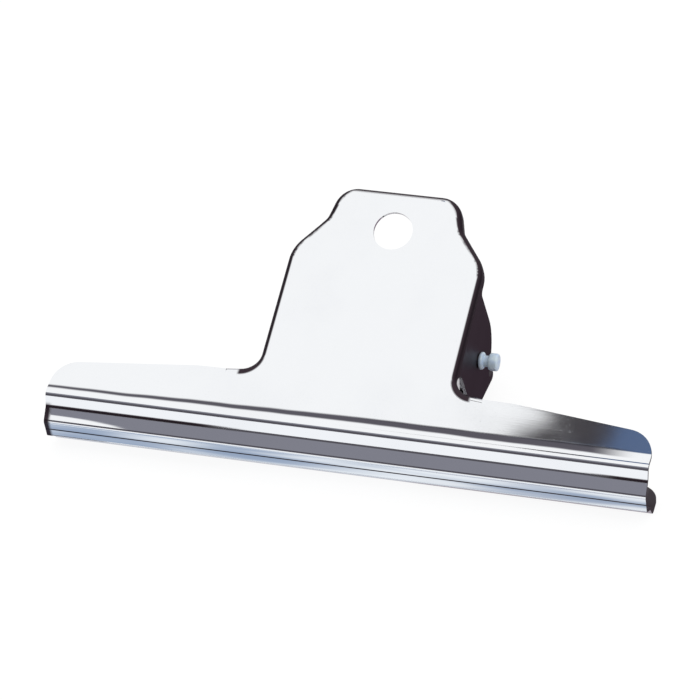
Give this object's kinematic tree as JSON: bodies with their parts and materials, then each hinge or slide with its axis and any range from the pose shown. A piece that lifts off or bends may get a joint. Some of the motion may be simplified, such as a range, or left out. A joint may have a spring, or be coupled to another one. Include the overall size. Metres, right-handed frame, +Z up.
{
  "type": "bulldog clip",
  "caption": "Wide bulldog clip: stamped plates with a long beaded grip bar and squeeze handles, hinged on a pivot pin and held shut by a torsion spring.",
  "frame": {"origin": "centre of the clip's outline on the surface it lies on", "axes": "+X along the grip bar, +Y from the jaws to the handles, +Z up from the surface the clip lies on"},
  "size_m": [0.145, 0.0696, 0.0479],
  "materials": {
    "plating": "bright nickel-chrome plate on sheet steel",
    "pin_zinc": "pale blue zinc plate, satin",
    "spring_wire": "drawn spring wire"
  },
  "bodies": {
    "rear": {"rear_plate": "plating", "pivot_pin": "pin_zinc", "torsion_spring": "spring_wire"},
    "front": {"front_plate": "plating"}
  },
  "joints": [
    {"name": "squeeze", "type": "hinge", "parent": "rear", "child": "front", "pos_m": [0, 0.00221, 0.01661], "axis": [-1, 0, 0], "range_deg": [0, 75], "stiffness_Nm_per_rad": 0.31, "springref_deg": -51.57, "deforming": ["torsion_spring"]}
  ]
}
